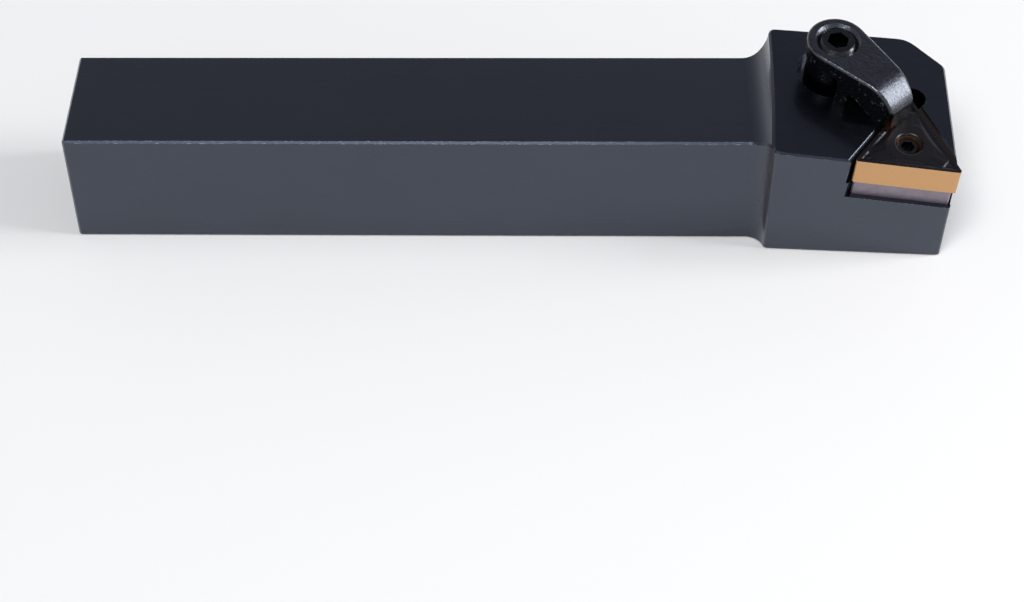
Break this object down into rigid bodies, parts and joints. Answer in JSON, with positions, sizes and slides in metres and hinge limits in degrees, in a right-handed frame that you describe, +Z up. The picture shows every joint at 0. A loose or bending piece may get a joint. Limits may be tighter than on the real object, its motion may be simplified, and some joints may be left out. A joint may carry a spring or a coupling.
{
  "type": "turning tool holder",
  "caption": "Square-shank lathe tool holder, left-hand, with a clamped triangular carbide insert, shim, lock pin and finger clamp.",
  "frame": {"origin": "centre of the shank's underside", "axes": "+X along the shank towards the cutting tip, +Z up, -Y the side of the main cutting edge"},
  "size_m": [0.137, 0.0271, 0.0301],
  "materials": {
    "blackened_steel": "satin black oxide",
    "forged_black_steel": "glossy black oxide on forged steel",
    "black_screw_steel": "satin black oxide",
    "ground_carbide": "ground sintered carbide",
    "coated_carbide": "two-tone coating, black faces and gold sides"
  },
  "bodies": {
    "holder": {"holder_body": "blackened_steel", "shim": "ground_carbide", "lock_pin": "black_screw_steel", "insert": "coated_carbide"},
    "screw": {"clamp_screw": "black_screw_steel"},
    "clamp": {"clamp": "forged_black_steel"}
  },
  "joints": [
    {"name": "clamp_lift", "type": "slide", "parent": "holder", "child": "screw", "axis": [0.0984, -0.1093, 0.9891], "range_m": [0, 0.0035]},
    {"name": "clamp_swing", "type": "hinge", "parent": "screw", "child": "clamp", "pos_m": [0.06611, 0.0037, 0.02252], "axis": [0.0984, -0.1093, 0.9891], "range_deg": [0, 100]}
  ]
}
